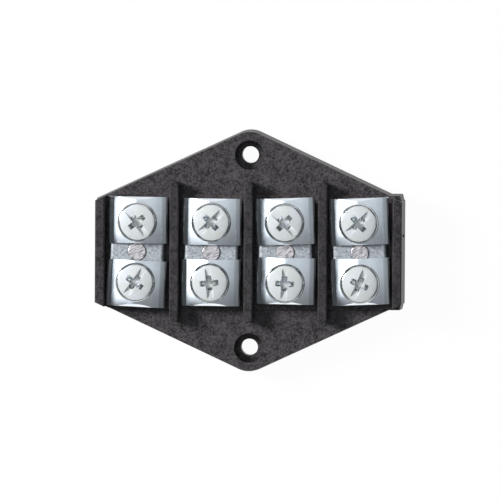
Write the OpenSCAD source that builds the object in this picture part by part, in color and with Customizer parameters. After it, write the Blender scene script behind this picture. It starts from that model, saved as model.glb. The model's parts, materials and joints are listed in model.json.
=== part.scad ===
// Terminal strip for fixed wiring, with a row of poles on a moulded base.
// Each pole is a flat bar riveted into a bay between ribs. A saddle plate under a pan-head screw
// clamps a wire onto each end of the bar.
// The origin is the middle of the underside, +X runs along the row of poles and +Z points up.

/* [Poles] */
// Number of poles in the row
poles = 4; // [2:1:6]
// Angle at which each bar sits on its rivet, from the first pole
bar_turns = [-1.7, -1.2, 0.7, 1.3]; // [-3:0.1:3]
// Angle of each rear clamp plate on its bar, from the first pole
rear_plate_turns = [1.2, 0.7, 1.5, 1.1]; // [-2:0.1:2]
// Angle of each front clamp plate on its bar, from the first pole
front_plate_turns = [-0.9, 0.8, -1.5, 1.1]; // [-2:0.1:2]
// How far each rear plate has slid to the rear on its bar, inside the play of its hole
rear_plate_slips = [0.4, 0.1, 0.3, 0.4]; // [-0.5:0.05:0.5]
// How far each front plate has slid to the rear on its bar, inside the play of its hole
front_plate_slips = [-0.4, -0.05, 0.5, 0.5]; // [-0.5:0.05:0.5]
// Angle of the screw slots in the rear row, from the first pole
rear_slot_turns = [128, 44, 136, 42]; // [0:1:180]
// Angle of the screw slots in the front row, from the first pole
front_slot_turns = [55, 95, 87, 66]; // [0:1:180]

/* [Terminal bars] */
// Width of a bar
bar_w = 13.45; // [12:0.05:18]
// Thickness of a bar
bar_t = 3; // [2:0.1:4]
// Rounding along the upper edges of a bar
bar_edge_r = 0.75; // [0.4:0.05:1]
// How far the ends of a bar lie inside the outer edges of its clamp plates
bar_end_in = 0.7; // [0:0.1:2]

/* [Clamp plates] */
// Depth of a plate along the bar
plate_d = 11.8; // [11:0.1:14]
// Thickness of the plate's sheet
plate_t = 0.65; // [0.6:0.05:1.2]
// Radius of the crowned top, across the bar
plate_crown_r = 45; // [30:1:80]
// Radius of the dome of the top, along the bar
plate_dome_r = 120; // [90:5:300]
// Width of the bevel that is bent down along a plate's outer edge
outer_bevel = 1; // [0.5:0.05:1.3]
// Width of the bevel that is bent down along its inner edge
inner_bevel = 0.55; // [0.4:0.05:0.8]
// Slope of both bevels
bevel_slope = 20; // [10:1:25]
// Rounding of the cut edges beside the bevels
plate_edge_r = 0.15; // [0.1:0.05:0.3]
// Distance between the two plates of a pole
plate_gap = 3.5; // [2.5:0.1:6]
// Play of a plate's hole round the screw, on the radius
plate_hole_play = 0.6; // [0.55:0.05:1]
// Gap that is left between a turned plate's lips and the sides of the bar
lip_clear = 0.05; // [0.03:0.01:0.3]
// Gap between a plate's lips and the base below them
lip_foot_gap = 1.2; // [0.5:0.1:1.8]
// Room between the plate that reaches furthest and the rib beside it
plate_room = 0.09; // [0.08:0.01:1.5]

/* [Clamp screws] */
// Outside diameter of the thread
screw_d = 5; // [4:0.5:5]
// Length of the screw under its head
screw_l = 8; // [7:0.5:12]
// Chamfer at the tip of the screw
tip_chamfer = 0.6; // [0.2:0.1:1]
// Diameter of the head
head_d = 10; // [9:0.1:11]
// Height of the head
head_h = 3.6; // [3.2:0.1:4]
// Radius of the domed top of the head
head_crown_r = 8.5; // [7:0.1:14]
// Rounding at the rim of the head
head_edge_r = 1; // [0.3:0.1:1.5]
// Width of the slot
slot_w = 1.6; // [1:0.1:2]
// Depth of the slot below the top of the head
slot_depth = 1; // [0.6:0.1:1.4]
// Cross recess from tip to tip
cross_d = 5; // [4:0.1:6]
// Width of the arms of the cross recess
cross_w = 1.4; // [1:0.1:1.8]
// Depth of the cross recess below the top of the head
cross_depth = 2.2; // [1.6:0.1:2.6]
// Clearance of the thread in the bar, on the radius
thread_clear = 0.05; // [0.02:0.01:0.1]
// Gap between a head and the top of its plate
head_seat_gap = 0.02; // [0.01:0.01:0.1]

/* [Rivets] */
// Diameter of the shank
rivet_d = 3.5; // [2.5:0.1:4]
// Diameter of the head on the bar
rivet_head_d = 4.7; // [4.2:0.1:5.5]
// Height of the head on the bar
rivet_head_h = 0.3; // [0.2:0.05:0.5]
// Width of the bevel round the head
rivet_edge = 0.35; // [0.1:0.05:0.6]
// Diameter of the upset tail under the base
rivet_tail_d = 5.6; // [5:0.1:6.5]
// Height of the upset tail
rivet_tail_h = 1.2; // [0.8:0.1:1.6]
// How far the tail is set in from the underside of the base
rivet_set_in = 2.3; // [2:0.1:3]
// Clearance of the shank, on the radius
rivet_clear = 0.05; // [0.02:0.01:0.1]
// Gap between the rivet's head and the plates that reach over it
rivet_head_room = 0.1; // [0.05:0.05:0.3]
// Room round the tail in its recess
rivet_tail_room = 1.2; // [0.8:0.1:1.4]

/* [Base] */
// Thickness of the ribs between the poles, at the top
rib_t = 2.3; // [1.6:0.05:3]
// How much thicker a rib is at its foot
rib_taper = 0.25; // [0:0.05:0.6]
// Height of the ribs and end walls above the block
rib_h = 4; // [3:0.1:6]
// How far the ribs run past the block over the flange
rib_run = 3.3; // [1:0.1:4]
// Thickness of the end walls
wall_t = 2.4; // [1.6:0.1:3]
// Height of the raised block above the flange
block_step = 1; // [0.5:0.1:2]
// Margin of the block past the ends of the bars
block_margin = 1.65; // [1:0.05:3]
// Half the depth of the base at its two ends
end_half_d = 12.95; // [12:0.05:14]
// How far the square foot at the right end tapers in at its corners
foot_taper = 0.6; // [0.2:0.1:1]
// Length of that taper along the end
foot_taper_l = 2.4; // [1:0.1:3]
// How much wider the flange is at the underside, on each side
flange_draft = 0.44; // [0.1:0.02:0.5]
// Radius of the flange round a mounting hole
ear_r = 5.9; // [5:0.1:8]
// Floor under the pockets for the screw tips
pocket_floor = 4.5; // [4.2:0.1:6]
// Room below a screw tip in its pocket
tip_room = 1; // [0.5:0.1:2]
// Room round a screw in its pocket, on the radius
pocket_room = 0.7; // [0.5:0.1:1]

/* [Mounting holes] */
// Distance between the two mounting holes
hole_spacing = 49; // [46:0.5:60]
// Diameter of a mounting hole
hole_d = 4.3; // [3.5:0.1:5]
// Diameter of the counterbore for the screw head
sink_d = 7.5; // [6.5:0.1:9]
// Depth of the counterbore
sink_depth = 3.9; // [2.5:0.1:5]

/* [Moulding marks] */
// Diameter of the ejector pin's mark on the flange
pin_mark_d = 4.7; // [3:0.1:6]
// Width of the ring that a pin leaves
pin_mark_w = 0.35; // [0.2:0.05:0.6]
// Depth of that ring
pin_mark_depth = 0.25; // [0.1:0.05:0.4]
// Distance of the mark from the middle, to the left
pin_mark_x = 15; // [10:0.5:20]
// Distance of the mark in front of the block
pin_mark_off = 3.9; // [3:0.1:6]
// Width of the groove that the gate leaves in the right end
gate_w = 0.75; // [0.4:0.05:1.2]
// Height of that groove
gate_h = 4.5; // [2:0.1:5]
// Distance of its lower end from the underside
gate_z = 2.6; // [1:0.1:3]
// Distance of the groove from the middle, to the rear
gate_y = 4.2; // [2:0.1:6]

/* [Hidden] */
$fn = 96;
// Overshoot of a cut past the face that it opens
cut = 1;
// Steps of a full turn on the wide arc of a plate's dome
dome_fn = 720;
rows = ["rear", "front"];
row_sides = [1, -1];

// Plate and bar along the pole
screw_spacing = plate_d + plate_gap;
bar_l = screw_spacing + plate_d - 2 * bar_end_in;

// Plate across the bar: its lips clear the bar at the largest angle of a plate
plate_turn_max = max([for (turn = concat(rear_plate_turns, front_plate_turns)) abs(turn)]);
plate_slip_max = max([for (slip = concat(rear_plate_slips, front_plate_slips)) abs(slip)]);
lip_gap = lip_clear + (plate_d / 2 + plate_slip_max) * sin(plate_turn_max);
plate_w = bar_w + 2 * (lip_gap + plate_t);

// Section of a plate: bends struck from the level of the bar's own edge rounding, and a crown
// that runs into them without a step
seat_gap = rivet_head_h + rivet_head_room;
bend_r = bar_edge_r + seat_gap + plate_t;
plate_top_over_bar = crown_rise(plate_w / 2, plate_crown_r, bend_r) - bar_edge_r;

// Levels, from the underside up
stack_h = bar_t + plate_top_over_bar + head_seat_gap;
pocket_depth = screw_l - stack_h + tip_room;
block_z = pocket_floor + pocket_depth;
flange_z = block_z - block_step;
bar_z = block_z + bar_t;
plate_z = bar_z + plate_top_over_bar;
head_z = plate_z + head_seat_gap;
lip_foot_z = block_z + lip_foot_gap;
rib_z = block_z + rib_h;
rivet_seat_z = rivet_set_in + rivet_tail_h;

// Plan of the base: the bays clear the plates beside the feet of their lips
plate_reach = max([for (i = [0:poles - 1], side = row_sides) side_reach(i, side)]);
rib_lip_t = rib_t + rib_taper * (rib_z - lip_foot_z) / (rib_z - flange_z);
pole_pitch = 2 * (plate_reach + plate_room) + rib_lip_t;
row_half = poles * pole_pitch / 2;
base_half = row_half - rib_t / 2 + wall_t;
block_d = bar_l + 2 * block_margin;
hole_y = hole_spacing / 2;
apex_y = hole_y + ear_r;

// Place of a pole along the row
function pole_x(i) = (i + 0.5) * pole_pitch - row_half;
// Height of a crowned section's top over the centres of the bends at its sides
function crown_rise(half_w, crown_r, side_r) =
    crown_r - sqrt(pow(crown_r - side_r, 2) - pow(half_w - side_r, 2));
// Value of a list for a pole, repeated where the row is longer than the list
function for_pole(list, i) = list[i % len(list)];
// Angle of a plate on its bar
function plate_turn(i, side) = for_pole(side > 0 ? rear_plate_turns : front_plate_turns, i);
// How far a plate has slid to the rear on its bar
function plate_slip(i, side) = for_pole(side > 0 ? rear_plate_slips : front_plate_slips, i);
// How far a turned plate reaches to the side of its pole
function side_reach(i, side) =
    let (
        bar_turn = for_pole(bar_turns, i),
        turn = bar_turn + plate_turn(i, side),
        off = side * screw_spacing / 2 * sin(bar_turn) + plate_slip(i, side) * sin(turn)
    )
    abs(off) + plate_w / 2 * cos(turn) + plate_d / 2 * sin(abs(turn));
// Angle, seen from an ear, at which the slant towards a corner leaves the ear's rounding
function slant_angle(x, y) =
    atan2(y - hole_y, x) + acos(ear_r / norm([x, y - hole_y]));

// Puts its children on a pole, turned with the bar of that pole
module at_pole(i) {
    translate([pole_x(i), 0, 0])
        rotate([0, 0, for_pole(bar_turns, i)])
            children();
}

// Extrudes a section drawn across the bar (X and Z) along the bar, centred on it
module along_bar(length) {
    translate([0, length / 2, 0])
        rotate([90, 0, 0])
            linear_extrude(height = length)
                children();
}

// Hexagonal outline of the base: straight ends, and slants that run into the rounded ears
module base_outline() {
    a = slant_angle(base_half, end_half_d);
    ear_x = ear_r * cos(a);
    ear_y = hole_y + ear_r * sin(a);
    corner = [[base_half, end_half_d], [ear_x, ear_y]];
    polygon(concat(
        corner,
        [for (p = [1, 0]) [-corner[p][0], corner[p][1]]],
        [for (p = [0, 1]) -corner[p]],
        [for (p = [1, 0]) [corner[p][0], -corner[p][1]]]
    ));
    for (side = row_sides)
        translate([0, side * hole_y])
            circle(r = ear_r);
}

// Square foot at the right end, tapered at its corners
module foot_plan() {
    foot_y = block_d / 2;
    for (side = row_sides)
        polygon([
            [0, 0],
            [base_half, 0],
            [base_half, side * (foot_y - foot_taper_l)],
            [base_half - foot_taper, side * foot_y],
            [0, side * foot_y]
        ]);
}

// Flange with the square foot, wider at the underside for draft
module flange() {
    wide_x = (base_half + flange_draft) / base_half;
    wide_y = (apex_y + flange_draft) / apex_y;
    linear_extrude(height = flange_z, slices = 1, scale = [1 / wide_x, 1 / wide_y])
        scale([wide_x, wide_y]) {
            base_outline();
            foot_plan();
        }
}

// Plan of the raised block: it follows the slants at the left end and covers the foot at the right
module block_plan() {
    intersection() {
        square([2 * base_half, block_d], center = true);
        union() {
            base_outline();
            foot_plan();
        }
    }
}

// End wall, cut off along the slants of the base
module end_wall(side) {
    linear_extrude(height = rib_z)
        intersection() {
            base_outline();
            translate([side * (base_half - wall_t / 2), 0])
                square([wall_t, hole_spacing], center = true);
        }
}

// Rib between two poles, tapered in section and rounded at both ends in plan
module rib() {
    foot_t = rib_t + rib_taper;
    straight_l = block_d + 2 * rib_run - foot_t;
    intersection() {
        along_bar(block_d + 2 * rib_run)
            polygon([
                [-foot_t / 2, 0],
                [foot_t / 2, 0],
                [foot_t / 2, flange_z],
                [rib_t / 2, rib_z],
                [-rib_t / 2, rib_z],
                [-foot_t / 2, flange_z]
            ]);
        linear_extrude(height = rib_z) {
            square([foot_t, straight_l], center = true);
            for (side = row_sides)
                translate([0, side * straight_l / 2])
                    circle(d = foot_t);
        }
    }
}

// Counterbored mounting hole
module mounting_hole() {
    translate([0, 0, -cut])
        cylinder(h = flange_z + 2 * cut, d = hole_d);
    translate([0, 0, flange_z - sink_depth])
        cylinder(h = sink_depth + cut, d = sink_d);
}

// Ring that an ejector pin leaves in the flange
module pin_mark() {
    translate([0, 0, flange_z - pin_mark_depth])
        difference() {
            cylinder(h = pin_mark_depth + cut, d = pin_mark_d);
            translate([0, 0, -cut])
                cylinder(h = pin_mark_depth + 3 * cut, d = pin_mark_d - 2 * pin_mark_w);
        }
}

// Half-round groove that the gate leaves, upright in the end of the flange
module gate_mark() {
    translate([base_half, gate_y, gate_z])
        cylinder(h = gate_h, d = gate_w);
}

// Pockets for the screw tips, and the rivet's hole with the recess for its tail
module pole_cuts() {
    for (side = row_sides)
        translate([0, side * screw_spacing / 2, pocket_floor])
            cylinder(h = pocket_depth + cut, d = screw_d + 2 * pocket_room);
    translate([0, 0, -cut])
        cylinder(h = block_z + 2 * cut, d = rivet_d + 2 * rivet_clear);
    translate([0, 0, -cut])
        cylinder(h = rivet_seat_z + cut, d = rivet_tail_d + 2 * rivet_tail_room);
}

module base() {
    color([0.16, 0.15, 0.15])
        difference() {
            union() {
                flange();
                linear_extrude(height = block_z)
                    block_plan();
                for (side = row_sides)
                    end_wall(side);
                for (i = [1:poles - 1])
                    translate([i * pole_pitch - row_half, 0, 0])
                        rib();
            }
            for (side = row_sides)
                translate([0, side * hole_y, 0])
                    mounting_hole();
            for (i = [0:poles - 1])
                translate([pole_x(i), 0, 0])
                    pole_cuts();
            translate([-pin_mark_x, -block_d / 2 - pin_mark_off, 0])
                pin_mark();
            gate_mark();
        }
}

// Section of a bar, with both upper edges rounded
module bar_section() {
    translate([-bar_w / 2, 0])
        square([bar_w, bar_t - bar_edge_r]);
    translate([-bar_w / 2 + bar_edge_r, 0])
        square([bar_w - 2 * bar_edge_r, bar_t]);
    for (side = row_sides)
        translate([side * (bar_w / 2 - bar_edge_r), bar_t - bar_edge_r])
            circle(r = bar_edge_r);
}

module terminal_bar(i) {
    color([0.72, 0.74, 0.77])
        at_pole(i)
            translate([0, 0, block_z])
                difference() {
                    along_bar(bar_l)
                        bar_section();
                    for (side = row_sides)
                        translate([0, side * screw_spacing / 2, -cut])
                            cylinder(h = bar_t + 2 * cut, d = screw_d + 2 * thread_clear);
                    translate([0, 0, -cut])
                        cylinder(h = bar_t + 2 * cut, d = rivet_d + 2 * rivet_clear);
                }
}

// Half section of a rivet: upset tail, shank and bevelled head
module rivet_section() {
    top_z = bar_z + rivet_head_h;
    polygon([
        [0, rivet_set_in],
        [rivet_tail_d / 2, rivet_set_in],
        [rivet_tail_d / 2, rivet_seat_z],
        [rivet_d / 2, rivet_seat_z],
        [rivet_d / 2, bar_z],
        [rivet_head_d / 2, bar_z],
        [rivet_head_d / 2, bar_z + rivet_head_h / 2],
        [rivet_head_d / 2 - rivet_edge, top_z],
        [0, top_z]
    ]);
}

module rivet(i) {
    color([0.78, 0.66, 0.6])
        at_pole(i)
            rotate_extrude()
                rivet_section();
}

// Section with straight sides and a crowned top that runs into the bends beside it.
// With an inset it is the section of the face that lies that far inside.
module crowned_section(half_w, top_z, foot_z, crown_r, side_r, inset = 0) {
    side_x = half_w - side_r;
    side_z = top_z - crown_rise(half_w, crown_r, side_r);
    crown_x = (crown_r - inset) * side_x / (crown_r - side_r);
    intersection() {
        translate([0, top_z - crown_r])
            circle(r = crown_r - inset);
        translate([-crown_x, foot_z])
            square([2 * crown_x, top_z - foot_z]);
    }
    translate([inset - half_w, foot_z])
        square([2 * (half_w - inset), side_z - foot_z]);
    for (side = row_sides)
        translate([side * side_x, side_z])
            circle(r = side_r - inset);
}

// Sweeps a section drawn across the bar (X and Z) along the bar, over the arc of a plate's dome
module along_dome(length) {
    sweep = 2 * asin(length / 2 / (plate_dome_r - plate_z));
    translate([0, 0, plate_z - plate_dome_r])
        rotate([0, -90, 0])
            rotate([0, 0, -sweep / 2])
                rotate_extrude(angle = sweep, $fn = dome_fn)
                    translate([plate_dome_r - plate_z, 0])
                        rotate(-90)
                            children();
}

// Where the rounding of a cut edge is struck from, beside a bevel that starts at bevel_y
function edge_centre(bevel_y, half_d, top_z, edge_r) = [
    half_d - edge_r,
    top_z - edge_r / cos(bevel_slope) - (half_d - edge_r - bevel_y) * tan(bevel_slope)
];
// Corners of a bevel in a plate's outline, from the cut edge up to where the bevel starts
function bevel_corners(bevel_y, half_d, top_z, edge_r) =
    let (centre = edge_centre(bevel_y, half_d, top_z, edge_r))
    [
        [half_d, centre[1]],
        if (edge_r > 0) centre,
        if (edge_r > 0) centre + edge_r * [sin(bevel_slope), cos(bevel_slope)],
        [bevel_y, top_z]
    ];

// Outline of half a plate along the bar (Y and Z), from its middle to an edge with a bevel bent down.
// With an inset it is the outline of the sheet's inner face, which runs out past the edge.
module half_outline(bevel, foot_z, inset) {
    top_z = plate_z - inset;
    half_d = plate_d / 2 + (inset > 0 ? cut : 0);
    edge_r = inset > 0 ? 0 : plate_edge_r;
    bevel_y = plate_d / 2 - bevel - inset * tan(bevel_slope / 2);
    polygon(concat(
        [[0, foot_z], [half_d, foot_z]],
        bevel_corners(bevel_y, half_d, top_z, edge_r),
        [[0, top_z]]
    ));
    if (edge_r > 0)
        translate(edge_centre(bevel_y, half_d, top_z, edge_r))
            circle(r = edge_r);
}

// Outline of a plate along the bar, its outer edge at +Y
module bevelled_outline(foot_z, inset) {
    half_outline(outer_bevel, foot_z, inset);
    mirror([1, 0])
        half_outline(inner_bevel, foot_z, inset);
}

// Domed and crowned form of a plate with bevelled edges, or with an inset the room under its sheet
module plate_form(foot_z, inset = 0) {
    intersection() {
        along_dome(plate_d + 4 * cut)
            crowned_section(plate_w / 2, plate_z, foot_z - cut, plate_crown_r, bend_r, inset);
        rotate([0, 0, 90])
            along_bar(plate_w + 2 * cut)
                bevelled_outline(foot_z, inset);
    }
}

module clamp_plate(i, side) {
    color([0.8, 0.82, 0.85])
        at_pole(i)
            translate([0, side * screw_spacing / 2, 0])
                rotate([0, 0, plate_turn(i, side)])
                    difference() {
                        translate([0, plate_slip(i, side), 0])
                            rotate([0, 0, side > 0 ? 0 : 180])
                                difference() {
                                    plate_form(lip_foot_z);
                                    plate_form(lip_foot_z - cut, plate_t);
                                }
                        translate([0, 0, bar_z])
                            cylinder(h = plate_z, d = screw_d + 2 * plate_hole_play);
                    }
}

// Half section of the domed screw head
module head_section() {
    intersection() {
        crowned_section(head_d / 2, head_h, 0, head_crown_r, head_edge_r);
        square([head_d, head_h]);
    }
}

// Slot across the head, and a cross recess that narrows towards its bottom
module screw_recess() {
    translate([0, 0, head_h - slot_depth + cut])
        cube([head_d + 2 * cut, slot_w, 2 * cut], center = true);
    intersection() {
        translate([0, 0, head_h - cross_depth])
            cylinder(h = cross_depth, d1 = cross_w, d2 = cross_d);
        for (turn = [0, 90])
            rotate([0, 0, turn])
                translate([0, 0, head_h])
                    cube([cross_d + cut, cross_w, 2 * cross_depth], center = true);
    }
}

module clamp_screw(i, side) {
    slot_turns = side > 0 ? rear_slot_turns : front_slot_turns;
    turn = for_pole(slot_turns, i) - for_pole(bar_turns, i);
    color([0.84, 0.85, 0.86])
        at_pole(i)
            translate([0, side * screw_spacing / 2, head_z])
                rotate([0, 0, turn]) {
                    difference() {
                        rotate_extrude()
                            head_section();
                        screw_recess();
                    }
                    translate([0, 0, tip_chamfer - screw_l])
                        cylinder(h = screw_l - tip_chamfer, d = screw_d);
                    translate([0, 0, -screw_l])
                        cylinder(h = tip_chamfer, d1 = screw_d - 2 * tip_chamfer, d2 = screw_d);
                }
}

base();
for (i = [0:poles - 1]) {
    terminal_bar(i);
    rivet(i);
    for (r = [0:1]) {
        clamp_plate(i, row_sides[r]);
        clamp_screw(i, row_sides[r]);
    }
}
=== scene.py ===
"""Terminal strip with four poles: its finishes, detailed screws and rivets, studio light and camera.

All lengths are in metres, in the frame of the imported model: +Z up, the strip lying on its underside.
"""

from __future__ import annotations

import json
import logging
import math
from dataclasses import dataclass, replace
from enum import Enum

import bmesh
import bpy
from mathutils import Matrix, Vector, noise

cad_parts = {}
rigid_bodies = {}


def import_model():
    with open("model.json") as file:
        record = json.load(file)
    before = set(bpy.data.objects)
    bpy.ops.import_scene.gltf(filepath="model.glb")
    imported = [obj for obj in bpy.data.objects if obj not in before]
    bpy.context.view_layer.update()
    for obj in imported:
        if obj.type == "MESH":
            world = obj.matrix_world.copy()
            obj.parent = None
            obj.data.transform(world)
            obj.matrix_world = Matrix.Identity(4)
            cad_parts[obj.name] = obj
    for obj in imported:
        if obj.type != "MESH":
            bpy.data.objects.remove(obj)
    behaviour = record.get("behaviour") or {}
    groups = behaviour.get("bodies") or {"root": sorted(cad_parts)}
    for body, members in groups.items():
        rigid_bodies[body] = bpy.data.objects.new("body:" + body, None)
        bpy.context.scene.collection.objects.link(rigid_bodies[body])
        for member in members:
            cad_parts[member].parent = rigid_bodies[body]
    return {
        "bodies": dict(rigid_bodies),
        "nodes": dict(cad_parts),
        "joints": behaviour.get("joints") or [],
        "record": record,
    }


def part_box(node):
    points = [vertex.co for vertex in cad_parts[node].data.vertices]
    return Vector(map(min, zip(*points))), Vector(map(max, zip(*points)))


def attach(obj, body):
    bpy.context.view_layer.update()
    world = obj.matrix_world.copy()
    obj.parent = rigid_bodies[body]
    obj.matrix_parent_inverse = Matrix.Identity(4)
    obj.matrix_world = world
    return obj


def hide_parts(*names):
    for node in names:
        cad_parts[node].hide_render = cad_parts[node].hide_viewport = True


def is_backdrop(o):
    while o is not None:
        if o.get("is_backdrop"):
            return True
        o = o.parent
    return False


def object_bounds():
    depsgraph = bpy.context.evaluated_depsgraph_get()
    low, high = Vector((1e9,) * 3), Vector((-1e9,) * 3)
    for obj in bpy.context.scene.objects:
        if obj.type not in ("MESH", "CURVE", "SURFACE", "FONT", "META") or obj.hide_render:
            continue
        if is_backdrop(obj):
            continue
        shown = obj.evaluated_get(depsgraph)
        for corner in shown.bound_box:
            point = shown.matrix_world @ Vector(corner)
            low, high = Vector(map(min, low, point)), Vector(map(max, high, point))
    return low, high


MM = 0.001
SAME_PLACE = 0.0001 * MM
POLES = (1, 2, 3, 4)
LEANING_POLES = (3, 4)
STEEP_TO_LEVEL = (0.86, 0.905)
SQUARE_CORNERS = ((-1, -1), (1, -1), (1, 1), (-1, 1))

Colour = tuple[float, float, float]
Triple = tuple[float, float, float]
Range = tuple[float, float]
Profile = list[tuple[float, float]]
Levels = tuple[tuple[float, float], ...]
Nodes = dict[str, bpy.types.Object]
Socket = bpy.types.NodeSocket

log = logging.getLogger("terminal_strip")


class Row(Enum):
    """The two rows of clamps: rear is +Y, front is -Y."""

    REAR = "rear"
    FRONT = "front"


class Slot(Enum):
    """Names of the record's material slots; nothing in the script reads them."""

    MOULDING = "moulding"
    SCREW = "zinc_screw"
    RIVET = "rivet_metal"


@dataclass(frozen=True)
class NormalTurn:
    """A small turn of a pressed or upset surface's normal, for form that is finer than the solid's.

    level_up and steep_up are the weights of the upward direction, beside the surface's own, where it
    faces up and where it is steep. lean is the weight of the direction to the left.
    """

    level_up: float = 0.0
    steep_up: float = 0.0
    lean: float = 0.0


class NodeGraph:
    """A node tree with short calls that add and join nodes."""

    def __init__(self, tree: bpy.types.NodeTree) -> None:
        """Takes the tree that it works on."""
        self.tree = tree

    def add(self, kind: str, **settings: object) -> bpy.types.Node:
        """Adds a node.

        Args:
            kind: The node's type.
            settings: Properties of the node by name.

        Returns:
            The new node.
        """
        node = self.tree.nodes.new(kind)
        for name, value in settings.items():
            setattr(node, name, value)
        return node

    def join(self, source: Socket, target: Socket) -> None:
        """Links an output to an input."""
        self.tree.links.new(source, target)

    def feed(self, value: object, target: Socket) -> None:
        """Links an output to an input, or sets the input to a constant.

        Args:
            value: The output or the constant.
            target: The input.
        """
        if isinstance(value, bpy.types.NodeSocket):
            self.join(value, target)
        else:
            target.default_value = value

    def parts(self, vector: Socket) -> bpy.types.NodeOutputs:
        """Splits a vector.

        Args:
            vector: The vector.

        Returns:
            Its X, Y and Z by name.
        """
        node = self.add("ShaderNodeSeparateXYZ")
        self.join(vector, node.inputs["Vector"])
        return node.outputs

    def remap(self, value: Socket, low: float, high: float, to_low: float, to_high: float) -> Socket:
        """Maps a value from one range to another, clamped.

        Args:
            value: The value.
            low: Start of the range that is read.
            high: End of the range that is read.
            to_low: What low becomes.
            to_high: What high becomes.

        Returns:
            The mapped value.
        """
        node = self.add("ShaderNodeMapRange", interpolation_type="SMOOTHSTEP")
        node.inputs["From Min"].default_value = low
        node.inputs["From Max"].default_value = high
        node.inputs["To Min"].default_value = to_low
        node.inputs["To Max"].default_value = to_high
        self.join(value, node.inputs["Value"])
        return node.outputs["Result"]

    def maths(self, operation: str, first: Socket, second: object) -> Socket:
        """Adds a sum, product or like operation.

        Args:
            operation: The operation's name.
            first: The first value.
            second: The second value, a socket or a number.

        Returns:
            The result.
        """
        node = self.add("ShaderNodeMath", operation=operation)
        self.join(first, node.inputs[0])
        self.feed(second, node.inputs[1])
        return node.outputs[0]

    def scaled(self, colour: object, factor: Socket) -> Socket:
        """Makes a colour brighter or darker.

        Args:
            colour: A colour or a colour socket.
            factor: What it is multiplied by.

        Returns:
            The changed colour.
        """
        node = self.add("ShaderNodeVectorMath", operation="SCALE")
        self.feed(colour, node.inputs[0])
        self.join(factor, node.inputs["Scale"])
        return node.outputs["Vector"]

    def curve(self, value: Socket, points: Levels) -> Socket:
        """Reads a level off a line through points.

        Args:
            value: The value from -1 to 1.
            points: Each point's value and its level from 0 to 1, in order from -1 to 1.

        Returns:
            The level.
        """
        spread = self.add("ShaderNodeMapRange")
        spread.inputs["From Min"].default_value = -1.0
        self.join(value, spread.inputs["Value"])
        node = self.add("ShaderNodeFloatCurve")
        self.join(spread.outputs["Result"], node.inputs["Value"])
        line = node.mapping.curves[0]
        for _ in points[2:]:
            line.points.new(0.5, 0.5)
        for point, (place, level) in zip(line.points, points):
            point.location = ((place + 1.0) / 2.0, level)
            point.handle_type = "VECTOR"
        node.mapping.update()
        return node.outputs["Value"]

    def seen_by(self, *rays: str) -> Socket:
        """Tells whether a ray is of one of some kinds.

        Args:
            rays: The kinds, as the light path names them.

        Returns:
            1 where it is, 0 where it isn't.
        """
        path = self.add("ShaderNodeLightPath")
        seen = path.outputs[rays[0]]
        for ray in rays[1:]:
            seen = self.maths("MAXIMUM", seen, path.outputs[ray])
        return seen

    def choose(self, factor: Socket, first: Socket, second: Socket) -> Socket:
        """Mixes two shaders.

        Args:
            factor: 0 for the first shader, 1 for the second.
            first: A shader.
            second: A shader.

        Returns:
            The mixed shader.
        """
        node = self.add("ShaderNodeMixShader")
        for source, target in zip((factor, first, second), node.inputs):
            self.join(source, target)
        return node.outputs["Shader"]


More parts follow.
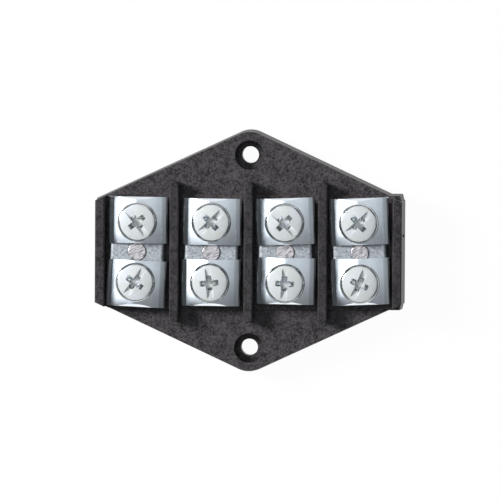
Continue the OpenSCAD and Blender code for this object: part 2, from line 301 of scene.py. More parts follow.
class ShaderGraph(NodeGraph):
    """A new material's node tree and its surface shader."""

    def __init__(self, name: str, steep_to_level: Range = STEEP_TO_LEVEL) -> None:
        """Makes the material.

        Args:
            name: The material's name.
            steep_to_level: The normal's upward part where a face counts as steep and where as level.
        """
        self.steep_to_level = steep_to_level
        self.material = bpy.data.materials.new(name)
        self.material.use_nodes = True
        super().__init__(self.material.node_tree)
        self.shader = self.tree.nodes["Principled BSDF"]
        self.place = self.add("ShaderNodeTexCoord").outputs["Object"]

    def shader_input(self, name: str) -> Socket:
        """Returns an input of the surface shader by its name."""
        return self.shader.inputs[name]

    def stretched_place(self, turn_deg: float, stretch: Triple) -> Socket:
        """Turns the place about Z and then scales it along each axis.

        Args:
            turn_deg: Angle about Z.
            stretch: Factor along each axis, more than 1 for finer.

        Returns:
            The changed place.
        """
        mapping = self.add("ShaderNodeMapping", vector_type="TEXTURE")
        mapping.inputs["Rotation"].default_value = (0.0, 0.0, math.radians(turn_deg))
        mapping.inputs["Scale"].default_value = tuple(1.0 / s for s in stretch)
        self.join(self.place, mapping.inputs["Vector"])
        return mapping.outputs["Vector"]

    def cloud(
        self, size: float, detail: float = 3.0, rough: float = 0.55, place: Socket | None = None
    ) -> Socket:
        """Adds noise.

        Args:
            size: Size of its largest features.
            detail: Number of finer layers.
            rough: Weight of the finer layers.
            place: Where it is looked up, the object's own place if left out.

        Returns:
            The noise from 0 to 1.
        """
        node = self.add("ShaderNodeTexNoise")
        node.inputs["Scale"].default_value = 1.0 / size
        node.inputs["Detail"].default_value = detail
        node.inputs["Roughness"].default_value = rough
        self.join(place or self.place, node.inputs["Vector"])
        return node.outputs["Fac"]

    def blend_colours(self, factor: Socket, first: object, second: object) -> Socket:
        """Mixes two colours.

        Args:
            factor: 0 for the first colour, 1 for the second.
            first: A colour or a colour socket.
            second: A colour or a colour socket.

        Returns:
            The mixed colour.
        """
        node = self.add("ShaderNodeMix", data_type="RGBA")
        self.join(factor, node.inputs["Factor"])
        for side, colour in (("A", first), ("B", second)):
            target = next(s for s in node.inputs if s.name == side and s.type == "RGBA")
            self.feed((*colour, 1.0) if isinstance(colour, tuple) else colour, target)
        return next(s for s in node.outputs if s.type == "RGBA")

    def by_slope(self, steep: float, level: float) -> Socket:
        """Gives one value where the surface is steep and another where it faces up.

        Args:
            steep: The value on a steep surface.
            level: The value on a surface that faces up.

        Returns:
            The value.
        """
        normal = self.add("ShaderNodeNewGeometry").outputs["Normal"]
        return self.remap(self.parts(normal)["Z"], *self.steep_to_level, steep, level)

    def turned(self, turn: NormalTurn) -> Socket:
        """Turns the surface's normal upwards and to the left.

        Args:
            turn: How far it is turned.

        Returns:
            The normal.
        """
        own = self.add("ShaderNodeNewGeometry").outputs["Normal"]
        lift = self.add("ShaderNodeCombineXYZ")
        lift.inputs["X"].default_value = -turn.lean
        self.join(self.by_slope(turn.steep_up, turn.level_up), lift.inputs["Z"])
        both = self.add("ShaderNodeVectorMath", operation="ADD")
        self.join(own, both.inputs[0])
        self.join(lift.outputs["Vector"], both.inputs[1])
        unit = self.add("ShaderNodeVectorMath", operation="NORMALIZE")
        self.join(both.outputs["Vector"], unit.inputs[0])
        return unit.outputs["Vector"]

    def relief(self, height: Socket, depth: float, turn: NormalTurn | None = None) -> None:
        """Gives the surface a bump.

        Args:
            height: The height from 0 to 1.
            depth: How high 1 stands.
            turn: How the normal under the bump is turned, if it is.
        """
        node = self.add("ShaderNodeBump")
        node.inputs["Distance"].default_value = depth
        node.inputs["Strength"].default_value = 1.0
        self.join(height, node.inputs["Height"])
        if turn is not None:
            self.join(self.turned(turn), node.inputs["Normal"])
        self.join(node.outputs["Normal"], self.shader_input("Normal"))


@dataclass(frozen=True)
class MouldingFinish:
    """Brown-black moulded resin with a fine, dull grain, darker on the smooth tops of ribs and walls."""

    dark: Colour = (0.008, 0.007, 0.0075)
    light: Colour = (0.079, 0.0705, 0.0765)
    smooth_from: float = 12.4 * MM
    smooth_to: float = 12.8 * MM
    smooth_level: float = 0.66
    grain: float = 0.55 * MM
    grain_share: float = 0.75
    grain_range: Range = (0.3, 0.7)
    cloud: float = 2.6 * MM
    tone_range: Range = (0.365, 0.635)
    roughness_low: float = 0.46
    roughness_high: float = 0.62
    steep_roughness: float = 0.45
    steep_contrast: float = 0.4
    specular: float = 0.22
    relief: float = 0.04 * MM

    def tone(self, graph: ShaderGraph, grain: Socket) -> Socket:
        """Mixes the grain with larger clouds, fainter on steep faces.

        Args:
            graph: The material's nodes.
            grain: The grain from 0 to 1.

        Returns:
            The tone from 0, dark, to 1, light.
        """
        fine = graph.maths("MULTIPLY", grain, self.grain_share)
        broad = graph.maths("MULTIPLY", graph.cloud(self.cloud), 1.0 - self.grain_share)
        spread = graph.remap(graph.maths("ADD", fine, broad), *self.tone_range, -0.5, 0.5)
        spread = graph.maths("MULTIPLY", spread, graph.by_slope(self.steep_contrast, 1.0))
        return graph.maths("ADD", spread, 0.5)

    def material(self) -> bpy.types.Material:
        """Makes the finish.

        Returns:
            The material.
        """
        graph = ShaderGraph("moulded_resin")
        grain = graph.cloud(self.grain, detail=4.0, rough=0.7)
        mottled = graph.blend_colours(self.tone(graph, grain), self.dark, self.light)
        height = graph.parts(graph.place)["Z"]
        level = graph.remap(height, self.smooth_from, self.smooth_to, 1.0, self.smooth_level)
        graph.join(graph.scaled(mottled, level), graph.shader_input("Base Color"))
        rough = graph.remap(grain, *self.grain_range, self.roughness_low, self.roughness_high)
        rough = graph.maths("MINIMUM", rough, graph.by_slope(self.steep_roughness, 1.0))
        graph.join(rough, graph.shader_input("Roughness"))
        graph.shader_input("Specular IOR Level").default_value = self.specular
        graph.relief(grain, self.relief)
        return graph.material


@dataclass(frozen=True)
class ZincFinish:
    """A zinc-plated steel surface, from bright to grainy.

    Where steep_roughness is given, steep faces have that roughness and are bare metal.
    """

    name: str
    tint: Colour
    dull: Colour
    metallic: float
    roughness_low: float
    roughness_high: float
    patch: float
    grain: float
    relief: float
    patch_range: Range = (0.3, 0.7)
    scratch: float = 0.0
    scratch_turn: float = 25.0
    scratch_w: float = 0.5 * MM
    scratch_stretch: Triple = (0.12, 5.0, 1.0)
    scratch_range: Range = (0.58, 0.72)
    scratch_roughness: float = 0.2
    turn: NormalTurn | None = None
    steep_roughness: float | None = None
    steep_to_level: Range = STEEP_TO_LEVEL

    def scratches(self, graph: ShaderGraph) -> Socket:
        """Draws fine scratches in one direction.

        Args:
            graph: The material's nodes.

        Returns:
            0 beside a scratch, and its strength in it.
        """
        place = graph.stretched_place(self.scratch_turn, self.scratch_stretch)
        lines = graph.cloud(self.scratch_w, detail=2.0, place=place)
        return graph.maths("MULTIPLY", graph.remap(lines, *self.scratch_range, 0.0, 1.0), self.scratch)

    def material(self) -> bpy.types.Material:
        """Makes the finish.

        Returns:
            The material.
        """
        graph = ShaderGraph(self.name, self.steep_to_level)
        patch = graph.cloud(self.patch, detail=4.0)
        grain = graph.cloud(self.grain, rough=0.65)
        scratched = self.scratches(graph)
        tone = graph.remap(patch, *self.patch_range, 0.0, 1.0)
        graph.join(graph.blend_colours(tone, self.dull, self.tint), graph.shader_input("Base Color"))
        graph.shader_input("Metallic").default_value = self.metallic
        if self.steep_roughness is None:
            rough = graph.remap(patch, *self.patch_range, self.roughness_high, self.roughness_low)
            rough = graph.maths("ADD", rough, graph.maths("MULTIPLY", scratched, self.scratch_roughness))
        else:
            rough = graph.by_slope(self.steep_roughness, self.roughness_high)
            graph.join(graph.by_slope(1.0, self.metallic), graph.shader_input("Metallic"))
        graph.join(rough, graph.shader_input("Roughness"))
        graph.relief(graph.maths("SUBTRACT", grain, scratched), self.relief, self.turn)
        return graph.material


@dataclass(frozen=True)
class RivetFinish:
    """Bare rivet metal, a little pink, with file marks across the head and a dark rim, which is painted
    shade and dark reflection on the steep rim, partly dirt in its joint with the bar.
    """

    tint: Colour = (0.60, 0.575, 0.60)
    mark: Colour = (0.17, 0.16, 0.165)
    # Painted shade: this colour darkens the steep rim all round, for its shade and dark reflection, partly
    # dirt in its joint with the bar.
    rim: Colour = (0.10, 0.10, 0.11)
    metallic: float = 0.55
    roughness: float = 0.38
    hatch: float = 0.35 * MM
    hatch_turn: float = 32.0
    hatch_stretch: Triple = (0.25, 1.6, 1.0)
    hatch_range: Range = (0.45, 0.62)
    relief: float = 0.05 * MM

    def material(self) -> bpy.types.Material:
        """Makes the finish.

        Returns:
            The material.
        """
        graph = ShaderGraph("rivet_metal")
        place = graph.stretched_place(self.hatch_turn, self.hatch_stretch)
        lines = graph.cloud(self.hatch, place=place)
        mark = graph.remap(lines, *self.hatch_range, 0.0, 1.0)
        face = graph.blend_colours(mark, self.tint, self.mark)
        # Painted shade: steep faces take the dark rim colour.
        colour = graph.blend_colours(graph.by_slope(1.0, 0.0), face, self.rim)
        graph.join(colour, graph.shader_input("Base Color"))
        graph.shader_input("Metallic").default_value = self.metallic
        graph.shader_input("Roughness").default_value = self.roughness
        graph.relief(lines, self.relief)
        return graph.material


BRIGHT_PLATE = ZincFinish(
    name="bright_zinc_plate",
    tint=(0.74, 0.78, 0.82),
    dull=(0.68, 0.73, 0.78),
    metallic=1.0,
    roughness_low=0.05,
    roughness_high=0.09,
    patch=3.0 * MM,
    grain=0.25 * MM,
    relief=0.0008 * MM,
    scratch=0.15,
    turn=NormalTurn(steep_up=0.45),
)
LEANING_PLATE = replace(
    BRIGHT_PLATE,
    name="leaning_zinc_plate",
    turn=NormalTurn(steep_up=0.45, lean=0.018),
)
GRAINY_BAR = ZincFinish(
    name="grainy_zinc_bar",
    tint=(0.46, 0.49, 0.53),
    dull=(0.21, 0.235, 0.25),
    metallic=0.25,
    roughness_low=0.45,
    roughness_high=0.60,
    patch=0.6 * MM,
    grain=0.22 * MM,
    relief=0.04 * MM,
    scratch=0.5,
    scratch_turn=4.0,
)
SATIN_SCREW = ZincFinish(
    name="satin_zinc_screw",
    tint=(0.64, 0.67, 0.71),
    dull=(0.60, 0.63, 0.61),
    metallic=0.20,
    roughness_low=0.38,
    roughness_high=0.46,
    patch=2.6 * MM,
    grain=0.2 * MM,
    relief=0.008 * MM,
    scratch=0.2,
    turn=NormalTurn(level_up=2.5),
    steep_roughness=0.12,
    steep_to_level=(0.835, 0.88),
)
# Painted shade: the slot is coloured a little darker than the head, for the shade in it; its walls' normals
# are also turned up.
SLOT_SHADE_ZINC = replace(
    SATIN_SCREW,
    name="slot_shade_zinc",
    tint=(0.57, 0.59, 0.65),
    dull=(0.53, 0.56, 0.58),
    turn=NormalTurn(level_up=2.5, steep_up=2.5),
    steep_roughness=None,
)
# Painted shade: the cross recess is coloured much darker than the head, for the shade and dark reflections
# inside it.
RECESS_SHADE_ZINC = ZincFinish(
    name="recess_shade_zinc",
    tint=(0.25, 0.33, 0.39),
    dull=(0.11, 0.155, 0.20),
    metallic=0.70,
    roughness_low=0.25,
    roughness_high=0.35,
    patch=0.8 * MM,
    grain=0.2 * MM,
    relief=0.01 * MM,
)


def add_object(name: str, data: bpy.types.ID) -> bpy.types.Object:
    """Adds an object to the scene.

    Args:
        name: The object's name.
        data: Its mesh, camera or lamp.

    Returns:
        The object.
    """
    thing = bpy.data.objects.new(name, data)
    bpy.context.scene.collection.objects.link(thing)
    return thing


class MeshMaker:
    """Makes mesh objects and settles their modifiers and shading."""

    @staticmethod
    def from_bmesh(name: str, bm: bmesh.types.BMesh) -> bpy.types.Object:
        """Turns a bmesh into an object in the scene.

        Args:
            name: The object's name.
            bm: The mesh, which is freed.

        Returns:
            The object.
        """
        bmesh.ops.recalc_face_normals(bm, faces=bm.faces)
        mesh = bpy.data.meshes.new(name)
        bm.to_mesh(mesh)
        bm.free()
        return add_object(name, mesh)

    @staticmethod
    def lathe(name: str, profile: Profile, segments: int) -> bpy.types.Object:
        """Turns a profile about Z into a closed solid.

        Args:
            name: The object's name.
            profile: Radius and height of each point, from one end of the axis to the other.
            segments: Number of steps round the axis.

        Returns:
            The object.
        """
        bm = bmesh.new()
        rings: list[list[bmesh.types.BMVert]] = []
        for radius, height in profile:
            if radius < SAME_PLACE:
                rings.append([bm.verts.new((0.0, 0.0, height))])
                continue
            turns = (2.0 * math.pi * k / segments for k in range(segments))
            rings.append([bm.verts.new((radius * math.cos(t), radius * math.sin(t), height)) for t in turns])
        for lower, upper in zip(rings, rings[1:]):
            for k in range(segments):
                n = (k + 1) % segments
                corners = [lower[k % len(lower)], lower[n % len(lower)]]
                corners += [upper[n % len(upper)], upper[k % len(upper)]]
                bm.faces.new(list(dict.fromkeys(corners)))
        return MeshMaker.from_bmesh(name, bm)

    @staticmethod
    def apply_modifiers(thing: bpy.types.Object) -> None:
        """Replaces an object's mesh by what its modifiers make of it.

        Args:
            thing: The object.
        """
        depsgraph = bpy.context.evaluated_depsgraph_get()
        mesh = bpy.data.meshes.new_from_object(thing.evaluated_get(depsgraph))
        old = thing.data
        thing.modifiers.clear()
        thing.data = mesh
        bpy.data.meshes.remove(old)

    @staticmethod
    def combine(thing: bpy.types.Object, operation: str, *others: bpy.types.Object) -> None:
        """Takes other solids away from an object, or joins them to it, and removes them from the scene.

        Args:
            thing: The object that is changed.
            operation: DIFFERENCE or UNION.
            others: The solids that are cut out or joined.
        """
        for other in others:
            boolean = thing.modifiers.new("combine", "BOOLEAN")
            boolean.operation = operation
            boolean.solver = "EXACT"
            boolean.object = other
        MeshMaker.apply_modifiers(thing)
        for other in others:
            bpy.data.objects.remove(other, do_unlink=True)

    @staticmethod
    def shade(thing: bpy.types.Object, sharp_deg: float) -> None:
        """Shades an object smooth, with sharp edges over an angle."""
        thing.data.shade_smooth()
        thing.data.set_sharp_from_angle(angle=math.radians(sharp_deg))

    @staticmethod
    def dress(thing: bpy.types.Object, *materials: bpy.types.Material) -> None:
        """Gives an object its materials.

        Args:
            thing: The object.
            materials: The materials, in the order of its faces' numbers.
        """
        thing.data.materials.clear()
        for material in materials:
            thing.data.materials.append(material)


@dataclass
class MouldedBase:
    """The moulded base: a copy of its solid whose moulded edges are rounded, level by level.

    block_step is how far the flange lies below the blocks that carry the bars. An edge belongs to a
    level if both its ends are within reach of it.
    """

    node: str = "base"
    bar_node: str = "terminal_bar_1"
    block_step: float = 1.0 * MM
    rib_edge: float = 0.32 * MM
    block_edge: float = 0.22 * MM
    flange_edge: float = 0.30 * MM
    edge_steps: int = 3
    edge_profile: float = 0.5
    edge_angle_deg: float = 35.0
    flat_angle_deg: float = 0.5
    weld: float = 0.002 * MM
    reach: float = 0.01 * MM

    def outer_edges(self, bm: bmesh.types.BMesh, level: float) -> list[bmesh.types.BMEdge]:
        """Finds the edges at a height that stand out sharply.

        Args:
            bm: The mesh.
            level: The height.

        Returns:
            The edges.
        """
        limit = math.radians(self.edge_angle_deg)
        joined = (e for e in bm.edges if len(e.link_faces) == 2)
        sharp = (e for e in joined if e.is_convex and e.calc_face_angle() > limit)
        return [e for e in sharp if all(abs(v.co.z - level) < self.reach for v in e.verts)]

    def round_edges(self, bm: bmesh.types.BMesh, level: float, radius: float) -> None:
        """Rounds the outer edges at a height.

        Args:
            bm: The mesh.
            level: The height.
            radius: How far the rounding reaches.
        """
        edges = self.outer_edges(bm, level)
        log.info("%s: %d edges rounded at %.2f mm", self.node, len(edges), level / MM)
        bmesh.ops.bevel(
            bm, geom=edges, offset=radius, offset_type="OFFSET", segments=self.edge_steps,
            profile=self.edge_profile, affect="EDGES", clamp_overlap=True,
        )

    def build(self, nodes: Nodes) -> bpy.types.Object:
        """Rounds the base.

        Args:
            nodes: The frame's nodes.

        Returns:
            The base that is shown.
        """
        bm = bmesh.new()
        bm.from_mesh(nodes[self.node].data)
        bmesh.ops.remove_doubles(bm, verts=bm.verts, dist=self.weld)
        flat = math.radians(self.flat_angle_deg)
        bmesh.ops.dissolve_limit(bm, angle_limit=flat, verts=bm.verts, edges=bm.edges)
        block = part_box(self.bar_node)[0].z
        self.round_edges(bm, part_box(self.node)[1].z, self.rib_edge)
        self.round_edges(bm, block, self.block_edge)
        self.round_edges(bm, block - self.block_step, self.flange_edge)
        base = MeshMaker.from_bmesh("moulded_base", bm)
        MeshMaker.shade(base, self.edge_angle_deg)
        base.modifiers.new("even_shading", "WEIGHTED_NORMAL").keep_sharp = True
        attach(base, "base")
        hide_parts(self.node)
        return base


@dataclass
class PlatedPiece:
    """A zinc-plated piece of a pole whose solid is shown as it is, with a finish."""

    pole: int

    @property
    def node(self) -> str:
        """The piece's node."""
        raise NotImplementedError

    def dress(self, nodes: Nodes, material: bpy.types.Material) -> None:
        """Gives the piece its finish.

        Args:
            nodes: The frame's nodes.
            material: The piece's material.
        """
        MeshMaker.dress(nodes[self.node], material)
        log.info("%s dressed", self.node)


@dataclass
class TerminalBar(PlatedPiece):
    """A flat zinc-plated bar that carries both clamps of a pole."""

    @property
    def node(self) -> str:
        """The bar's node."""
        return f"terminal_bar_{self.pole}"


@dataclass
class ClampPlate(PlatedPiece):
    """A pressed saddle plate under a clamp screw."""

    row: Row

    @property
    def node(self) -> str:
        """The plate's node and body."""
        return f"clamp_plate_{self.pole}_{self.row.value}"


class ScrewSurface(Enum):
    """The screw's surfaces, by the numbers of their materials."""

    PLAIN = 0
    CROSS = 1
    SLOT = 2


@dataclass
class ScrewPattern:
    """The clamp screw's form: pan head with slot and cross recess, threaded shank. Its seat is at z 0.

    cross_foot and cross_taper are an arm's length and width at its foot, as shares of those at the
    crown. slot_overrun and cutter_rise are how far the cutters reach past the head, as factors.
    crown_share, slot_share and cross_share set where one surface ends and the next begins, as shares
    of the recess edge, the slot's width and the cross's diameter.
    """

    head_d: float = 10.0 * MM
    head_h: float = 3.6 * MM
    crown_r: float = 8.5 * MM
    edge_r: float = 1.0 * MM
    foot_chamfer: float = 0.12 * MM
    slot_w: float = 1.6 * MM
    slot_depth: float = 1.0 * MM
    slot_overrun: float = 1.2
    cross_d: float = 5.0 * MM
    cross_w: float = 1.4 * MM
    cross_depth: float = 2.2 * MM
    cross_foot: float = 0.45
    cross_taper: float = 0.7
    cutter_rise: float = 1.5
    recess_edge: float = 0.09 * MM
    recess_edge_deg: float = 35.0
    recess_edge_steps: int = 2
    length: float = 8.0 * MM
    thread_r: float = 2.48 * MM
    root_r: float = 2.01 * MM
    pitch: float = 0.8 * MM
    crest: float = 0.1 * MM
    tip_chamfer: float = 0.6 * MM
    neck_in_head: float = 0.2 * MM
    segments: int = 96
    edge_steps: int = 8
    crown_steps: int = 14
    thread_segments: int = 48
    sharp_deg: float = 30.0
    crown_share: float = 0.2
    slot_share: float = 0.55
    cross_share: float = 0.6

    def head_profile(self) -> Profile:
        """Draws the head's outline.

        Returns:
            Its points from the foot at the axis to the crown at the axis.
        """
        radius = self.head_d / 2.0
        inner = radius - self.edge_r
        ball_z = self.head_h - self.crown_r
        edge_z = ball_z + math.sqrt((self.crown_r - self.edge_r) ** 2 - inner**2)
        tangent = math.atan2(edge_z - ball_z, inner)
        points: Profile = [(0.0, 0.0), (radius - self.foot_chamfer, 0.0), (radius, self.foot_chamfer)]
        for k in range(self.edge_steps + 1):
            turn = tangent * k / self.edge_steps
            points.append((inner + self.edge_r * math.cos(turn), edge_z + self.edge_r * math.sin(turn)))
        for k in range(1, self.crown_steps):
            turn = tangent + (math.pi / 2.0 - tangent) * k / self.crown_steps
            points.append((self.crown_r * math.cos(turn), ball_z + self.crown_r * math.sin(turn)))
        return [*points, (0.0, self.head_h)]

    def wedge(self, name: str, top: Range, foot: Range, low: float) -> bpy.types.Object:
        """Makes a block that narrows downwards from above the crown.

        Args:
            name: The cutter's name.
            top: Its length and width at the crown.
            foot: Its length and width at its foot.
            low: Height of its foot.

        Returns:
            The cutter.
        """
        bm = bmesh.new()
        high = low + self.cutter_rise * (self.head_h - low)
        wide = tuple(f + self.cutter_rise * (t - f) for t, f in zip(top, foot))
        for (along, across), z in ((foot, low), (wide, high)):
            for x, y in SQUARE_CORNERS:
                bm.verts.new((x * along / 2.0, y * across / 2.0, z))
        bmesh.ops.convex_hull(bm, input=bm.verts)
        return MeshMaker.from_bmesh(name, bm)

    def head(self) -> bpy.types.Object:
        """Cuts the slot and the cross recess into the head and breaks their edges.

        Returns:
            The head.
        """
        solid = MeshMaker.lathe("screw_head", self.head_profile(), self.segments)
        slot_size = (self.slot_overrun * self.head_d, self.slot_w)
        slot = self.wedge("slot_cutter", slot_size, slot_size, self.head_h - self.slot_depth)
        arm = (self.cross_d, self.cross_w)
        arm_foot = (self.cross_d * self.cross_foot, self.cross_w * self.cross_taper)
        arm_low = self.head_h - self.cross_depth
        along = self.wedge("arm_cutter", arm, arm_foot, arm_low)
        across = self.wedge("cross_arm_cutter", arm[::-1], arm_foot[::-1], arm_low)
        MeshMaker.combine(solid, "DIFFERENCE", slot, along, across)
        bevel = solid.modifiers.new("broken_edges", "BEVEL")
        bevel.width = self.recess_edge
        bevel.segments = self.recess_edge_steps
        bevel.limit_method = "ANGLE"
        bevel.angle_limit = math.radians(self.recess_edge_deg)
        bevel.use_clamp_overlap = False
        MeshMaker.apply_modifiers(solid)
        return solid

    def thread_limit(self, height: float) -> float:
        """Returns the shank's largest radius at a height, less at its tip and at its neck."""
        tip = self.thread_r - self.tip_chamfer + (height + self.length)
        return min(tip, self.root_r + max(0.0, -height))

    def thread(self) -> bmesh.types.BMesh:
        """Makes the threaded shank as a grid that follows the helix, closed at both ends.

        Returns:
            The shank, from its tip to a neck that reaches into the head.
        """
        bm = bmesh.new()
        flank = (self.thread_r - self.root_r) / math.sqrt(3.0)
        root = self.pitch - 2.0 * flank - self.crest
        levels = ((0.0, self.root_r), (root, self.root_r), (root + flank, self.thread_r),
                  (root + flank + self.crest, self.thread_r))
        low, high = -self.length, self.neck_in_head
        turns = math.ceil((high - low) / self.pitch) + 2
        count = self.thread_segments
        grid: list[list[bmesh.types.BMVert]] = []
        for turn in range(turns):
            for rise, radius in levels:
                ring = []
                for k in range(count):
                    z = low + self.pitch * (turn - 1 + k / count) + rise
                    held = min(max(z, low), high)
                    reach = min(radius, self.thread_limit(held))
                    angle = 2.0 * math.pi * k / count
                    ring.append(bm.verts.new((reach * math.cos(angle), reach * math.sin(angle), held)))
                grid.append(ring)
        per_turn = len(levels)
        for j in range(len(grid) - 1):
            for k in range(count):
                wraps = k + 1 == count
                a, b = j + per_turn * wraps, j + 1 + per_turn * wraps
                if b >= len(grid):
                    continue
                n = (k + 1) % count
                bm.faces.new((grid[j][k], grid[a][n], grid[b][n], grid[j + 1][k]))
        bmesh.ops.remove_doubles(bm, verts=bm.verts, dist=SAME_PLACE)
        bmesh.ops.dissolve_degenerate(bm, dist=SAME_PLACE, edges=bm.edges)
        for z in (low, high):
            open_edges = (e for e in bm.edges if e.is_boundary)
            rim = [e for e in open_edges if all(abs(v.co.z - z) < SAME_PLACE for v in e.verts)]
            bmesh.ops.holes_fill(bm, edges=rim, sides=0)
        return bm

    def surface_at(self, place: Vector) -> ScrewSurface:
        """Tells which surface of the screw a place lies on.

        Args:
            place: The place, with the seat at z 0 and the slot along X.

        Returns:
            The surface.
        """
        from_axis = math.hypot(place.x, place.y)
        floor = self.head_h - self.slot_depth
        crown = self.head_h - self.crown_r + math.sqrt(self.crown_r**2 - from_axis**2)
        if place.z <= 0.0 or place.z > crown - self.crown_share * self.recess_edge:
            return ScrewSurface.PLAIN
        in_slot = abs(place.y) < self.slot_share * self.slot_w
        if in_slot and place.z > floor - self.recess_edge:
            return ScrewSurface.SLOT
        in_cross = from_axis < self.cross_share * self.cross_d
        deep = place.z < crown - self.recess_edge
        return ScrewSurface.CROSS if in_cross and deep else ScrewSurface.PLAIN

    def build(self) -> bpy.types.Mesh:
        """Joins head and shank and numbers their surfaces.

        Returns:
            The whole screw's mesh, its seat at z 0 and its slot along X.
        """
        whole = self.head()
        MeshMaker.combine(whole, "UNION", MeshMaker.from_bmesh("screw_shank", self.thread()))
        MeshMaker.shade(whole, self.sharp_deg)
        mesh = whole.data
        for face in mesh.polygons:
            face.material_index = self.surface_at(face.center).value
        bpy.data.objects.remove(whole, do_unlink=True)
        return mesh


@dataclass
class ClampScrew:
    """A clamp screw that stands where its node is, with its slot turned as it was left."""

    pole: int
    row: Row
    slot_deg: float

    @property
    def tag(self) -> str:
        """Pole and row, as in the names of nodes and joints."""
        return f"{self.pole}_{self.row.value}"

    def build(self, pattern: ScrewPattern, mesh: bpy.types.Mesh, axis: Vector) -> bpy.types.Object:
        """Places a copy of the screw.

        Args:
            pattern: The screw's form.
            mesh: Its mesh, the seat at z 0.
            axis: A point on the screw's axis.

        Returns:
            The screw.
        """
        node = f"clamp_screw_{self.tag}"
        low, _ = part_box(node)
        seat = Vector((axis.x, axis.y, low.z + pattern.length))
        own = mesh.copy()
        own.transform(Matrix.Translation(seat) @ Matrix.Rotation(math.radians(self.slot_deg), 4, "Z"))
        screw = add_object(f"screw_{self.tag}", own)
        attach(screw, node)
        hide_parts(node)
        log.info("%s on its axis at x %.2f, y %.2f mm", screw.name, seat.x / MM, seat.y / MM)
        return screw


@dataclass
class Rivet:
    """The rivet in the middle of a bar, its head filed flat and marked.

    dent is how deep the head's dents are, dent_size how wide, and dent_shift how far apart two rivets
    are in the noise that they come from.
    """

    pole: int
    shank_d: float = 3.5 * MM
    head_d: float = 4.7 * MM
    head_h: float = 0.3 * MM
    rim_w: float = 0.4 * MM
    rim_h: float = 0.28 * MM
    rim_steps: int = 6
    tail_d: float = 5.6 * MM
    tail_h: float = 1.2 * MM
    segments: int = 64
    rings: int = 14
    dent: float = 0.05 * MM
    dent_size: float = 0.9 * MM
    dent_shift: float = 10.0 * MM
    sharp_deg: float = 40.0

    def profile(self, low: float, high: float) -> Profile:
        """Draws the rivet's outline.

        Args:
            low: Height of the tail's foot.
            high: Height of the head's top.

        Returns:
            Its points from the foot at the axis to the top at the axis.
        """
        head_r, tail_r, shank_r = self.head_d / 2.0, self.tail_d / 2.0, self.shank_d / 2.0
        seat = high - self.head_h
        points: Profile = [(0.0, low), (tail_r, low), (tail_r, low + self.tail_h)]
        points += [(shank_r, low + self.tail_h), (shank_r, seat), (head_r, seat)]
        flat_r, rim_z = head_r - self.rim_w, high - self.rim_h
        for k in range(self.rim_steps):
            turn = math.pi / 2.0 * k / self.rim_steps
            points.append((flat_r + self.rim_w * math.cos(turn), rim_z + self.rim_h * math.sin(turn)))
        return points + [(flat_r * (1.0 - k / self.rings), high) for k in range(self.rings + 1)]

    def build(self) -> bpy.types.Object:
        """Makes the rivet, from its tail to its uneven head.

        Returns:
            The rivet.
        """
        node = f"rivet_{self.pole}"
        low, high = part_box(node)
        centre = (low + high) / 2.0
        rivet = MeshMaker.lathe(f"rivet_head_{self.pole}", self.profile(low.z, high.z), self.segments)
        for vertex in rivet.data.vertices:
            if vertex.co.z > high.z - SAME_PLACE:
                spot = Vector((vertex.co.x, vertex.co.y, self.pole * self.dent_shift)) / self.dent_size
                vertex.co.z -= self.dent * (0.5 + 0.5 * noise.noise(spot))
        rivet.data.transform(Matrix.Translation((centre.x, centre.y, 0.0)))
        MeshMaker.shade(rivet, self.sharp_deg)
        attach(rivet, "base")
        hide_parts(node)
        log.info("%s through bar %d", rivet.name, self.pole)
        return rivet


@dataclass
class PhotoCamera:
    """The camera, far above the strip and a little to its rear right."""

    look_at: Triple = (0.22 * MM, 0.43 * MM, 8.0 * MM)
    lean_right: float = 0.056
    lean_rear: float = 0.048
    roll_deg: float = 0.31
    distance: float = 1.6
    frame_w: float = 126.89 * MM
    sensor: float = 36.0
    nearest: float = 0.05
    farthest: float = 20.0

    def build(self) -> bpy.types.Object:
        """Places the camera and makes it the scene's own.

        Returns:
            The camera.
        """
        back = Vector((self.lean_right, self.lean_rear, 0.0))
        back.z = math.sqrt(1.0 - back.length_squared)
        right = Vector((0.0, 1.0, 0.0)).cross(back).normalized()
        up = back.cross(right)
        roll = math.radians(self.roll_deg)
        right_rolled = right * math.cos(roll) + up * math.sin(roll)
        up_rolled = back.cross(right_rolled)
        data = bpy.data.cameras.new("photo_camera")
        data.sensor_width = self.sensor
        data.lens = self.sensor * self.distance / self.frame_w
        data.clip_start = self.nearest
        data.clip_end = self.farthest
        camera = add_object("photo_camera", data)
        turn = Matrix((right_rolled, up_rolled, back)).transposed().to_4x4()
        camera.matrix_world = Matrix.Translation(Vector(self.look_at) + back * self.distance) @ turn
        bpy.context.scene.camera = camera
        return camera


@dataclass(frozen=True)
class SoftBox:
    """A soft lamp in a direction from the strip, given by its run to the right and rear for each unit up."""

    name: str
    right: float
    rear: float
    distance: float
    size_x: float
    size_y: float
    radiance: float
    only_mirrored: bool = False

    def build(self, aim: Vector) -> bpy.types.Object:
        """Places the lamp.

        Args:
            aim: The point that it faces.

        Returns:
            The lamp.
        """
        data = bpy.data.lights.new(self.name, "AREA")
        data.shape = "RECTANGLE"
        data.size = self.size_x
        data.size_y = self.size_y
        data.energy = self.radiance * math.pi * self.size_x * self.size_y
        lamp = add_object(self.name, data)
        lamp.visible_diffuse = not self.only_mirrored
        away = Vector((self.right, self.rear, 1.0)).normalized()
        side = Vector((0.0, 1.0, 0.0)).cross(away).normalized()
        turn = Matrix((side, away.cross(side), away)).transposed().to_4x4()
        lamp.matrix_world = Matrix.Translation(aim + away * self.distance) @ turn
        return lamp


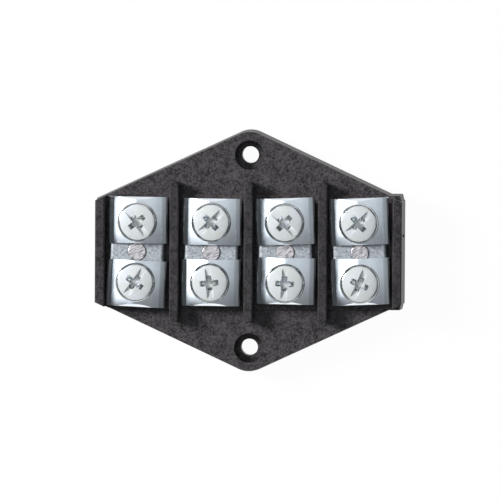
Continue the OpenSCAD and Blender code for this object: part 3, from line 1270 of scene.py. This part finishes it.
@dataclass(frozen=True)
class LightPatch:
    """A part of the sky that is bright: a level, and its share by the direction's x and by its y."""

    level: float
    across: Levels
    along: Levels

    def light(self, graph: NodeGraph, x: Socket, y: Socket) -> Socket:
        """Gives the patch's light in a direction.

        Args:
            graph: The world's nodes.
            x: The direction's x, from -1 at the left to 1 at the right.
            y: The direction's y, from -1 at the front to 1 at the rear.

        Returns:
            The light.
        """
        share = graph.maths("MULTIPLY", graph.curve(x, self.across), graph.curve(y, self.along))
        return graph.maths("MULTIPLY", share, self.level)


WHITE_FIELD = LightPatch(
    level=2.4,
    across=((-1.0, 0.0), (-0.315, 0.0), (-0.300, 1.0), (-0.108, 1.0), (-0.096, 0.0), (1.0, 0.0)),
    along=((-1.0, 0.0), (-0.140, 0.0), (-0.085, 1.0), (0.30, 1.0), (0.40, 0.0), (1.0, 0.0)),
)
GREY_FIELD = LightPatch(
    level=1.0,
    across=(
        (-1.0, 0.0), (-0.32, 0.0), (-0.12, 0.80), (0.05, 0.80), (0.11, 0.75), (0.17, 0.62), (0.22, 0.50),
        (0.30, 0.44), (0.46, 0.41), (0.70, 0.33), (0.89, 0.24), (1.0, 0.16),
    ),
    along=(
        (-1.0, 0.0), (-0.5, 0.05), (-0.25, 0.15), (-0.14, 0.30), (-0.10, 0.45), (-0.05, 0.68), (0.0, 0.86),
        (0.06, 1.0), (0.30, 1.0), (0.42, 0.05), (1.0, 0.0),
    ),
)
KEY_BOX = SoftBox(
    name="key_box", right=-1.25, rear=0.46, distance=1.1, size_x=0.36, size_y=0.26, radiance=60.0
)
REAR_GLOW = SoftBox(
    name="rear_glow", right=0.03, rear=1.12, distance=1.0, size_x=1.1, size_y=0.60, radiance=1.0,
    only_mirrored=True,
)
FRONT_GLOW = replace(REAR_GLOW, name="front_glow", rear=-1.12, radiance=1.2)


@dataclass
class Studio:
    """The light and the floor.

    A small key lamp stands at the left rear, two wide lamps at the rear and the front show in reflections
    alone, and the dim sky has bright fields. The floor is white with a faint shadow.
    """

    lamps: tuple[SoftBox, ...] = (KEY_BOX, REAR_GLOW, FRONT_GLOW)
    patches: tuple[LightPatch, ...] = (WHITE_FIELD, GREY_FIELD)
    dim: float = 0.065
    tint: Colour = (0.95, 1.0, 1.04)
    backdrop: Colour = (1.0, 1.0, 1.0)
    floor_colour: Colour = (0.9, 0.9, 0.9)
    floor_roughness: float = 0.9
    floor_half: float = 3.0
    floor_sink: float = 0.02 * MM
    floor_shadow: float = 0.032

    def world(self) -> None:
        """Gives the world its light."""
        world = bpy.data.worlds.new("studio")
        bpy.context.scene.world = world
        world.use_nodes = True
        world.node_tree.nodes.clear()
        graph = NodeGraph(world.node_tree)
        way = graph.parts(graph.add("ShaderNodeTexCoord").outputs["Generated"])
        total = graph.maths("ADD", self.patches[0].light(graph, way["X"], way["Y"]), self.dim)
        for patch in self.patches[1:]:
            total = graph.maths("ADD", total, patch.light(graph, way["X"], way["Y"]))
        lit = graph.add("ShaderNodeBackground")
        graph.join(graph.scaled(self.tint, total), lit.inputs["Color"])
        plain = graph.add("ShaderNodeBackground")
        plain.inputs["Color"].default_value = (*self.backdrop, 1.0)
        seen = graph.seen_by("Is Camera Ray", "Is Transmission Ray")
        light = graph.choose(seen, lit.outputs["Background"], plain.outputs["Background"])
        graph.join(light, graph.add("ShaderNodeOutputWorld").inputs["Surface"])

    def floor(self, level: float) -> bpy.types.Object:
        """Lays the floor.

        Args:
            level: Height of the underside that it carries.

        Returns:
            The floor.
        """
        bm = bmesh.new()
        reach, z = self.floor_half, level - self.floor_sink
        bm.faces.new([bm.verts.new((x * reach, y * reach, z)) for x, y in SQUARE_CORNERS])
        floor = MeshMaker.from_bmesh("floor", bm)
        graph = ShaderGraph("white_floor")
        graph.shader_input("Base Color").default_value = (*self.floor_colour, 1.0)
        graph.shader_input("Roughness").default_value = self.floor_roughness
        glow = graph.add("ShaderNodeEmission")
        seen = graph.seen_by("Is Camera Ray", "Is Glossy Ray", "Is Transmission Ray")
        share = graph.maths("MULTIPLY", seen, 1.0 - self.floor_shadow)
        surface = graph.choose(share, graph.shader.outputs["BSDF"], glow.outputs["Emission"])
        graph.join(surface, graph.tree.nodes["Material Output"].inputs["Surface"])
        MeshMaker.dress(floor, graph.material)
        floor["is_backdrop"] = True
        return floor

    def build(self, box: tuple[Vector, Vector]) -> None:
        """Lights the strip.

        Args:
            box: The strip's lowest and highest corners.
        """
        low, high = box
        self.world()
        self.floor(low.z)
        aim = Vector(((low.x + high.x) / 2.0, (low.y + high.y) / 2.0, high.z))
        for lamp in self.lamps:
            lamp.build(aim)
        bpy.context.scene.view_settings.view_transform = "Standard"


@dataclass
class TerminalStrip:
    """The whole strip: a base and four poles with two clamps each."""

    rear_slots_deg: tuple[float, ...] = (128.0, 44.0, 136.0, 42.0)
    front_slots_deg: tuple[float, ...] = (55.0, 95.0, 87.0, 66.0)

    def build(self, frame: dict) -> None:
        """Dresses the nodes and adds the detailed pieces.

        Args:
            frame: The loaded frame.
        """
        nodes = frame["nodes"]
        axes = {j["name"]: Vector(j["pos_m"]) for j in frame["joints"] if "pos_m" in j}
        MeshMaker.dress(MouldedBase().build(nodes), MouldingFinish().material())
        bar_zinc = GRAINY_BAR.material()
        level_zinc, leaning_zinc = BRIGHT_PLATE.material(), LEANING_PLATE.material()
        # The recess and slot finishes are coloured darker than the head, as painted shade in them.
        screw_zinc = SATIN_SCREW.material(), RECESS_SHADE_ZINC.material(), SLOT_SHADE_ZINC.material()
        rivet_metal = RivetFinish().material()
        pattern = ScrewPattern()
        screw_mesh = pattern.build()
        slots = {Row.REAR: self.rear_slots_deg, Row.FRONT: self.front_slots_deg}
        for pole in POLES:
            TerminalBar(pole).dress(nodes, bar_zinc)
            MeshMaker.dress(Rivet(pole).build(), rivet_metal)
            for row in Row:
                ClampPlate(pole, row).dress(nodes, leaning_zinc if pole in LEANING_POLES else level_zinc)
                screw = ClampScrew(pole, row, slots[row][pole - 1])
                axis = axes[f"screw_turn_{screw.tag}"]
                MeshMaker.dress(screw.build(pattern, screw_mesh, axis), *screw_zinc)
        bpy.data.meshes.remove(screw_mesh)


def main() -> None:
    """Loads the frame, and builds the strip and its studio."""
    logging.basicConfig(level=logging.INFO, format="%(name)s: %(message)s")
    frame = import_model()
    solid_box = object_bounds()
    PhotoCamera().build()
    TerminalStrip().build(frame)
    Studio().build(solid_box)
    log.info("boxes written")


if __name__ == "__main__":
    main()
